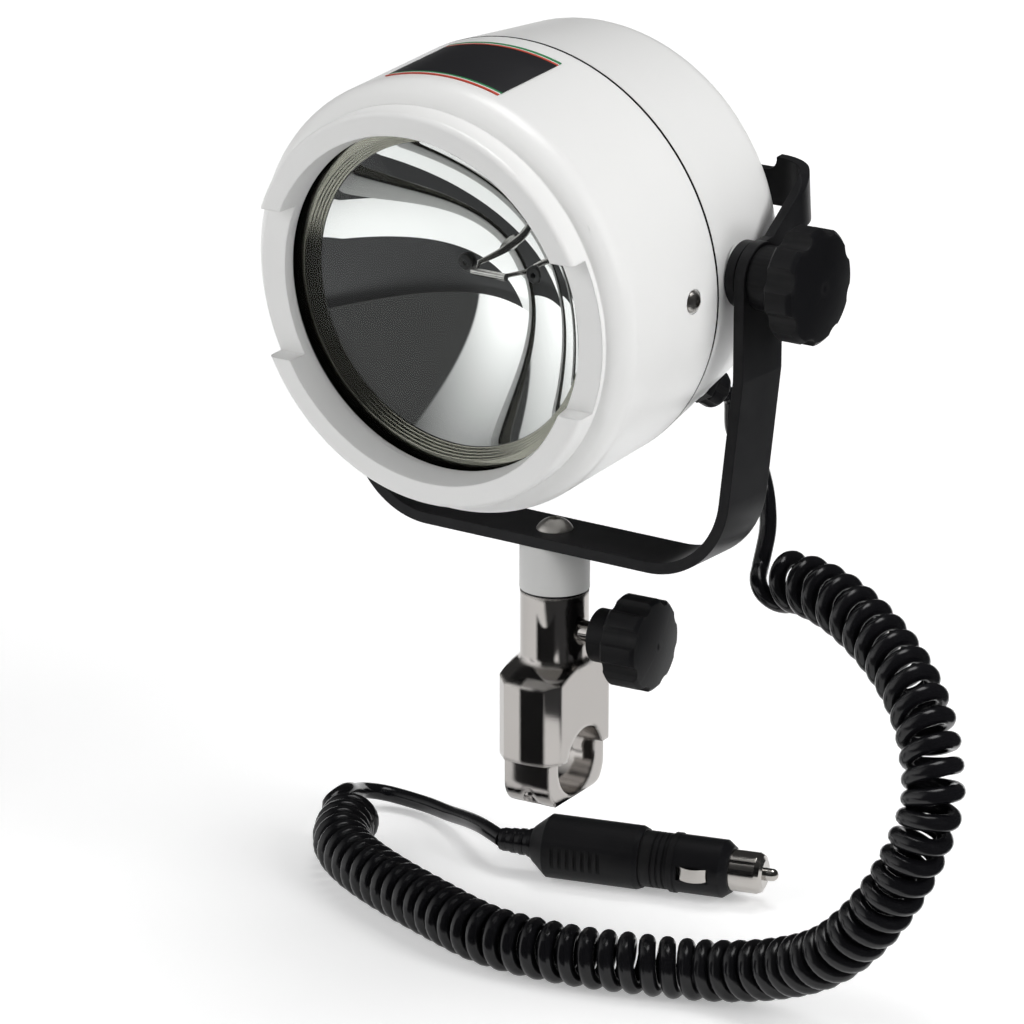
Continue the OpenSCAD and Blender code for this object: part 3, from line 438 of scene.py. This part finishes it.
def smooth_line(points, step):
    """Points about a step apart along a curve through the given points."""
    points = [Vector(p) for p in points]
    first = 2 * points[0] - points[1]
    last = 2 * points[-1] - points[-2]
    padded = [first] + points + [last]
    line = []
    for i in range(1, len(padded) - 2):
        p0, p1, p2, p3 = padded[i - 1 : i + 3]
        count = max(2, round((p2 - p1).length / step))
        for k in range(count):
            t = k / count
            line.append(
                0.5 * ((2 * p1) + (p2 - p0) * t + (2 * p0 - 5 * p1 + 4 * p2 - p3) * t * t
                       + (3 * p1 - p0 - 3 * p2 + p3) * t * t * t)
            )
    line.append(points[-1])
    return line


def along(line):
    """Distance of each point along a line."""
    total = [0.0]
    for a, b in zip(line, line[1:]):
        total.append(total[-1] + (b - a).length)
    return total


def evenly(line, count):
    """Points of a line at even distances."""
    total = along(line)
    spaced, i = [], 0
    for k in range(count + 1):
        want = total[-1] * k / count
        while i < len(line) - 2 and total[i + 1] < want:
            i += 1
        share = (want - total[i]) / max(total[i + 1] - total[i], 1e-9)
        spaced.append(line[i].lerp(line[i + 1], share))
    return spaced


def carried_frames(line, side):
    """Tangent and two square directions at each point, carried along without twist."""
    frames, u = [], Vector(side)
    for i in range(len(line)):
        t = (line[min(i + 1, len(line) - 1)] - line[max(i - 1, 0)]).normalized()
        u = (u - u.dot(t) * t).normalized()
        frames.append((t, u, t.cross(u)))
    return frames


def turns_at(distance):
    """Turns of the coil up to a distance along it: they lie close, and wider where its start hangs."""
    return distance / TURN_PITCH - SLACK_TURNS * (1 - math.exp(-distance / SLACK_REACH))


def coil_line():
    """The wire's line through the coil: turns about the coil's route, to where the last one rises."""
    route = smooth_line(COIL_ROUTE, ROUTE_STEP)
    centre = evenly(route, round(along(route)[-1] / COIL_STEP))
    radius = (COIL_D - WIRE_D) / 2
    line = []
    for i, (_, u, v) in enumerate(carried_frames(centre, COIL_SIDE)):
        a = 2 * math.pi * turns_at(i * COIL_STEP)
        line.append(centre[i] + radius * (math.cos(a) * u + math.sin(a) * v))
    last_turn = range(len(line) - round(TURN_PITCH / COIL_STEP), len(line) - 1)
    end = max(last_turn, key=lambda i: line[i + 1].z - line[i].z)
    return line[: end + 1]


def cord_line():
    """The whole wire, from the gland through the coil to the plug's boot."""
    leave, leave_dir = gland_line()
    coil = coil_line()
    boot_end = PLUG_START - BOOT_L * PLUG_AXIS
    into_coil = coil[0] - COIL_GUIDE * (coil[1] - coil[0]).normalized()
    from_coil = coil[-1] + COIL_GUIDE * (coil[-1] - coil[-2]).normalized()
    from_gland = leave + GLAND_GUIDE * leave_dir
    lead = smooth_line([leave, from_gland, *PIGTAIL_ROUTE, into_coil, coil[0]], ROUTE_STEP)
    tail = smooth_line([coil[-1], from_coil, *TAIL_ROUTE, boot_end], ROUTE_STEP)
    return lead[:-1] + coil + tail[1:]


def round_wire(name, line, diameter, sides, body, slot):
    """A round wire along a line in mm, in the finish of its slot."""
    points = []
    for p, (_, u, v) in zip(line, carried_frames(line, WIRE_SIDE)):
        for k in range(sides):
            a = 2 * math.pi * k / sides
            points.append(MM * (p + diameter / 2 * (math.cos(a) * u + math.sin(a) * v)))
    return add_piece(name, points, ring_faces(len(line), sides), FINISH[slot], body)


def make_spring():
    """The pin's spring in the plug's tip: a fixed coil from the fuse to the pin's flange."""
    across = Vector((0, 0, 1))
    sideways = PLUG_AXIS.cross(across)
    first = SPRING_FROM + SPRING_WIRE / 2
    rise = SPRING_TO - SPRING_FROM - SPRING_WIRE
    radius = (SPRING_D - SPRING_WIRE) / 2
    line = []
    for i in range(SPRING_STEPS + 1):
        a = 2 * math.pi * SPRING_TURNS * i / SPRING_STEPS
        middle = PLUG_START + (first + rise * i / SPRING_STEPS) * PLUG_AXIS
        line.append(middle + radius * (math.cos(a) * across + math.sin(a) * sideways))
    spring = round_wire("pin_spring", line, SPRING_WIRE, SPRING_SIDES, "yoke", SLOT_OF["plug_spring"])
    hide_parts("plug_spring")
    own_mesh(spring)
    return spring


def make_cord(spring):
    """The cord as one wire, from the gland through the coil to the plug's boot."""
    line = cord_line()
    cord = round_wire("curly_cord", line, WIRE_D, WIRE_SIDES, None, "black_rubber")
    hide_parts("cord_pigtail", "cord_coil", "cord_tail")
    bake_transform(cord)


make_cord(make_spring())


# Lamp, in mm, from its face backwards: beaded mirror bowl and domed glass in place of the plainer solids
FACE_S = -72.0
LAMP_R = 62.0
RIM_ROOM = 0.1
SEAM = 0.02
# Glass
GLASS_INSET = 3.0
GLASS_S = FACE_S + GLASS_INSET
GLASS_T = 3.0
GLASS_RISE = 2.5
GLASS_STEPS = 30
# Mirror: its inside is shallower than its back, and beads run round its rim
FLANGE_S = GLASS_S + GLASS_T
FLANGE_T = 2.5
MIRROR_R = 57.0
BOWL_DEPTH = 36.0
BOWL_STEPS = 40
BACK_DEPTH = 45.0
BACK_WALL = 2.0
BACK_STEPS = 20
NECK_L = 3.0
NECK_R = 10.0
BASE_S = FLANGE_S + BACK_DEPTH + NECK_L
BEADS = 5
BEAD_W = 0.75
BEAD_H = 0.35
BEAD_STEPS = 8
# Seals round the feet of the filament posts
POST_X = 14.0
SEAL_BORE_R = 0.9
SEAL_R = 3.1
SEAL_EDGE = 0.4
SEAL_RISE = 1.2
SEAL_L = 4.0
SEAL_SIDES = 32


def bowl_back(radius, depth=BOWL_DEPTH):
    """How far back the mirror lies at a radius."""
    return FLANGE_S + depth * (1 - (radius / MIRROR_R) ** 2)


def bead_point(turn):
    """A point of the beaded rim, counted in beads from the rim inwards."""
    radius = MIRROR_R - BEAD_W * turn
    slope = 2 * BOWL_DEPTH * radius / MIRROR_R**2
    rise = BEAD_H * abs(math.sin(math.pi * turn)) / math.hypot(slope, 1)
    return radius - rise * slope, bowl_back(radius) - rise


def make_bowl():
    """Mirror bowl with its flange, back and neck; the beads and all outside them have their own finish."""
    last_bead = MIRROR_R - BEAD_W * BEADS
    inside = [(last_bead * i / BOWL_STEPS, bowl_back(last_bead * i / BOWL_STEPS)) for i in range(BOWL_STEPS)]
    beads = [bead_point(BEADS - i / BEAD_STEPS) for i in range(BEAD_STEPS * BEADS + 1)]
    rim_r, flange_back = LAMP_R - RIM_ROOM, FLANGE_S + FLANGE_T
    rim = [(rim_r, FLANGE_S), (rim_r, flange_back), (MIRROR_R + BACK_WALL, flange_back)]
    radii = [last_bead - (last_bead - NECK_R) * i / BACK_STEPS for i in range(BACK_STEPS + 1)]
    outside = [(r + BACK_WALL / 2, bowl_back(r, BACK_DEPTH) + BACK_WALL) for r in radii]
    neck = [(NECK_R, BASE_S - SEAM), (0, BASE_S - SEAM)]
    profile = inside + beads + rim + outside + neck
    bowl = turned_piece("mirror_bowl", profile, (0, 0, 0), FINISH["mirror_coat"], "head")
    bowl.data.materials.append(RIM_BEADS)
    to_head = IN_HEAD.inverted()
    for face in bowl.data.polygons:
        centre = to_head @ (Vector(face.center) / MM)
        if math.hypot(centre.x, centre.z) > last_bead:
            face.material_index = 1
    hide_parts("reflector")


def make_seals():
    """Dark seals round the feet of the two filament posts."""
    front = bowl_back(POST_X) - SEAL_RISE
    profile = [
        (SEAL_BORE_R, front), (SEAL_R - SEAL_EDGE, front), (SEAL_R, front + SEAL_EDGE),
        (SEAL_R, front + SEAL_L), (SEAL_BORE_R, front + SEAL_L),
    ]
    for name, x in (("left_post_seal", -POST_X), ("right_post_seal", POST_X)):
        turned_piece(name, profile, (x, 0, 0), DARK_SEAL, "head", SEAL_SIDES)


def make_glass():
    """Slightly domed glass with a flat rim."""
    radii = [MIRROR_R * i / GLASS_STEPS for i in range(GLASS_STEPS + 1)]
    front = [(r, GLASS_S - GLASS_RISE * (1 - (r / MIRROR_R) ** 2)) for r in radii]
    rim = [(LAMP_R - RIM_ROOM, GLASS_S), (LAMP_R - RIM_ROOM, FLANGE_S - SEAM)]
    back = [(r, s + GLASS_T - SEAM) for r, s in reversed(front)]
    glass = turned_piece(
        "front_glass", front + rim + back, (0, 0, 0), FINISH["clear_glass"], "head"
    )
    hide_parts("lens_glass")


make_bowl()
make_seals()
make_glass()


# Plain label plate on top of the front shell, in mm: a black field between thin coloured lines
LABEL_R = 76.05
LABEL_T = 0.3
LABEL_FRONT = -60.5
LABEL_REAR = -23.5
LABEL_HALF = 23.0
LABEL_STEPS = 48
LINE_RED = (0.55, 0.06, 0.03)
LINE_WHITE = (0.75, 0.75, 0.73)
LINE_GREEN = (0.03, 0.22, 0.08)
FIELD_BLACK = (0.010, 0.010, 0.012)
LABEL_LINES = [
    (0.0, LINE_RED), (1.0, LINE_WHITE), (1.5, LINE_GREEN), (2.6, FIELD_BLACK), (34.0, LINE_RED),
    (35.0, LINE_WHITE), (35.5, LINE_GREEN),
]


def label_finish():
    """Colours in lines across the label, by the distance from its front edge."""
    material = moulded(
        "label_print", FIELD_BLACK, FIELD_BLACK, smooth=0.3, dull=0.4, grain=1500, waves=80, bump=0.04
    )
    tree = material.node_tree
    place = tree.nodes.new("ShaderNodeTexCoord")
    back = tree.nodes.new("ShaderNodeVectorMath")
    back.operation = "DOT_PRODUCT"
    axis = (IN_HEAD.to_3x3() @ Vector((0, 1, 0))).normalized()
    back.inputs[1].default_value = axis
    pivot = axis.dot(Vector((0, 0, PIVOT_Z)))
    share = tree.nodes.new("ShaderNodeMapRange")
    share.inputs["From Min"].default_value = MM * (pivot + LABEL_FRONT)
    share.inputs["From Max"].default_value = MM * (pivot + LABEL_REAR)
    lines = tree.nodes.new("ShaderNodeValToRGB")
    lines.color_ramp.interpolation = "CONSTANT"
    stops = lines.color_ramp.elements
    stops.remove(stops[1])
    for i, (start, color) in enumerate(LABEL_LINES):
        stop = stops[0] if i == 0 else stops.new(start / (LABEL_REAR - LABEL_FRONT))
        stop.color = (*color, 1)
    tree.links.new(place.outputs["Object"], back.inputs[0])
    tree.links.new(back.outputs["Value"], share.inputs["Value"])
    tree.links.new(share.outputs["Result"], lines.inputs["Fac"])
    tree.links.new(lines.outputs["Color"], tree.nodes["Principled BSDF"].inputs["Base Color"])
    return material


def make_label():
    """A thin curved plate: a loft of equal four-cornered sections round the shell."""
    half_angle = LABEL_HALF / LABEL_R
    outer_r = LABEL_R + LABEL_T
    section = [(LABEL_R, LABEL_FRONT), (outer_r, LABEL_FRONT), (outer_r, LABEL_REAR), (LABEL_R, LABEL_REAR)]
    points = []
    for i in range(LABEL_STEPS + 1):
        a = half_angle * (2 * i / LABEL_STEPS - 1)
        outward = Vector((math.sin(a), 0, math.cos(a)))
        for radius, s in section:
            points.append(MM * (IN_HEAD @ (radius * outward + Vector((0, s, 0)))))
    faces = ring_faces(LABEL_STEPS + 1, len(section))
    add_piece("label_plate", points, faces, label_finish(), "head")


make_label()


# Studio, in metres: a white floor that is lifted to full white with the distance from the object
FLOOR_SIZE = 12.0
FLOOR_DROP = 0.0005
FLOOR_WHITE = (0.93, 0.93, 0.93)
FLOOR_LIFT = (0.35, 0.85)
FLOOR_LIFT_FROM = (0.3, 1.5)
# Dark cloth on the floor, past its edge, and dark flag before the clamp, which only bright metal shows
CLOTH_REACH = FLOOR_SIZE + 0.5
CLOTH_CORNER = (0.2, -0.2225)
CLOTH_LEFT_Y = -7.863
CLOTH_RISE = 0.001
FLAG_X = (-0.054, 0.06)
FLAG_Y = -0.1
FLAG_TOP = 0.02
DARK = (0.06, 0.06, 0.062)
# Dim room with one large soft light at the left
ROOM = 0.05
SOFT_LIGHT_AT = (-46, -2)
SOFT_LIGHT_PEAK = 1.4
SOFT_LIGHT_FULL = math.radians(14)
SOFT_LIGHT_END = math.radians(70)
SOFT_LIGHT_EDGE = -15
SOFT_LIGHT_BLUR = 0.015
# Lamps: name, place, aim, size, power in watts, and whether metal shows them
LAMPS = [
    ("front_lamp", (-0.9, -1.4, 0.9), (0, 0, 0.12), (1.2, 1.2), 8, False),
    ("right_lamp", (1.6, -0.2, 0.8), (0, 0, 0.1), (0.9, 1.2), 21, False),
    ("top_lamp", (0.1, 0.2, 1.6), (0, 0, 0.1), (0.9, 0.7), 9.5, True),
]


def towards(azimuth, elevation):
    """Direction at degrees round from the front towards +X, and up."""
    a, e = math.radians(azimuth), math.radians(elevation)
    return Vector((math.sin(a) * math.cos(e), -math.cos(a) * math.cos(e), math.sin(e)))


def add_stage(name, corners, color):
    """One flat piece of the set."""
    mesh = bpy.data.meshes.new(name)
    mesh.from_pydata(corners, [], [tuple(range(len(corners)))])
    material, _, shader = new_finish(name)
    shader.inputs["Base Color"].default_value = (*color, 1)
    shader.inputs["Roughness"].default_value = 0.8
    shader.inputs["Specular IOR Level"].default_value = 0.1
    mesh.materials.append(material)
    piece = bpy.data.objects.new(name, mesh)
    bpy.context.scene.collection.objects.link(piece)
    return piece


def whiten(piece):
    """Lifts a stage piece to white for the eye and for bright metal and glass, with its shadows kept."""
    tree = piece.data.materials[0].node_tree
    rays = tree.nodes.new("ShaderNodeLightPath")
    seen = rays.outputs["Is Camera Ray"]
    for kind in ("Is Glossy Ray", "Is Transmission Ray"):
        either = tree.nodes.new("ShaderNodeMath")
        either.operation = "MAXIMUM"
        tree.links.new(seen, either.inputs[0])
        tree.links.new(rays.outputs[kind], either.inputs[1])
        seen = either.outputs["Value"]
    place = tree.nodes.new("ShaderNodeTexCoord")
    away = tree.nodes.new("ShaderNodeVectorMath")
    away.operation = "LENGTH"
    tree.links.new(place.outputs["Object"], away.inputs[0])
    lift = tree.nodes.new("ShaderNodeMapRange")
    lift.inputs["From Min"].default_value, lift.inputs["From Max"].default_value = FLOOR_LIFT_FROM
    lift.inputs["To Min"].default_value, lift.inputs["To Max"].default_value = FLOOR_LIFT
    tree.links.new(away.outputs["Value"], lift.inputs["Value"])
    glow = tree.nodes.new("ShaderNodeMath")
    glow.operation = "MULTIPLY"
    tree.links.new(seen, glow.inputs[0])
    tree.links.new(lift.outputs["Result"], glow.inputs[1])
    shader = tree.nodes["Principled BSDF"]
    shader.inputs["Emission Color"].default_value = (1, 1, 1, 1)
    tree.links.new(glow.outputs["Value"], shader.inputs["Emission Strength"])


def hide_but_in_metal(piece):
    """Keeps a stage piece from the eye and the light, so that only reflections show it."""
    piece.visible_camera = False
    piece.visible_diffuse = False
    piece.visible_shadow = False


def make_floor():
    """White floor, with a dark cloth and a dark flag that only bright metal shows."""
    z = FLOOR_Z * MM - FLOOR_DROP
    size = FLOOR_SIZE
    floor = [(-size, -size, z), (size, -size, z), (size, size, z), (-size, size, z)]
    whiten(add_stage("floor", floor, FLOOR_WHITE))
    reach = CLOTH_REACH
    edge = [(-reach, CLOTH_LEFT_Y), CLOTH_CORNER, (CLOTH_CORNER[0], reach)]
    cloth = edge + [(reach, reach), (reach, -reach), (-reach, -reach)]
    hide_but_in_metal(add_stage("dark_cloth", [(x, y, z + CLOTH_RISE) for x, y in cloth], DARK))
    left, right = FLAG_X
    flag = [(left, FLAG_Y, z), (right, FLAG_Y, z), (right, FLAG_Y, FLAG_TOP), (left, FLAG_Y, FLAG_TOP)]
    hide_but_in_metal(add_stage("dark_flag", flag, DARK))


def make_surround():
    """A dim room with a soft light that fades from its middle and ends in a straight upright edge."""
    world = bpy.data.worlds.new("studio")
    bpy.context.scene.world = world
    world.use_nodes = True
    tree = world.node_tree
    place = tree.nodes.new("ShaderNodeTexCoord")

    def along_direction(direction):
        dot = tree.nodes.new("ShaderNodeVectorMath")
        dot.operation = "DOT_PRODUCT"
        dot.inputs[1].default_value = direction
        tree.links.new(place.outputs["Generated"], dot.inputs[0])
        return dot.outputs["Value"]

    def ranged(value, low, high, to_low, to_high):
        node = tree.nodes.new("ShaderNodeMapRange")
        limits = {"From Min": low, "From Max": high, "To Min": to_low, "To Max": to_high}
        for socket, number in limits.items():
            node.inputs[socket].default_value = number
        tree.links.new(value, node.inputs["Value"])
        return node.outputs["Result"]

    def maths(operation, *values):
        node = tree.nodes.new("ShaderNodeMath")
        node.operation = operation
        for socket, value in zip(node.inputs, values):
            if isinstance(value, float):
                socket.default_value = value
            else:
                tree.links.new(value, socket)
        return node.outputs["Value"]

    angle = maths("ARCCOSINE", along_direction(towards(*SOFT_LIGHT_AT)))
    fade = ranged(angle, SOFT_LIGHT_FULL, SOFT_LIGHT_END, SOFT_LIGHT_PEAK, 0)
    past_edge = along_direction(towards(SOFT_LIGHT_EDGE - 90, 0))
    inside = ranged(past_edge, -SOFT_LIGHT_BLUR, SOFT_LIGHT_BLUR, 0, 1)
    strength = maths("ADD", maths("MULTIPLY", fade, inside), ROOM)
    tree.links.new(strength, tree.nodes["Background"].inputs["Strength"])
    tree.nodes["Background"].inputs["Color"].default_value = (1, 1, 1, 1)


def add_lamp(name, place, aim, size, power, shows_in_metal):
    """A rectangular lamp that points from its place to its aim."""
    data = bpy.data.lights.new(name, "AREA")
    data.shape = "RECTANGLE"
    data.size, data.size_y = size
    data.energy = power
    lamp = bpy.data.objects.new(name, data)
    lamp.location = place
    lamp.rotation_euler = (Vector(aim) - Vector(place)).to_track_quat("-Z", "Y").to_euler()
    lamp.visible_glossy = shows_in_metal
    lamp.visible_transmission = shows_in_metal
    bpy.context.scene.collection.objects.link(lamp)


make_floor()
make_surround()
for lamp in LAMPS:
    add_lamp(*lamp)
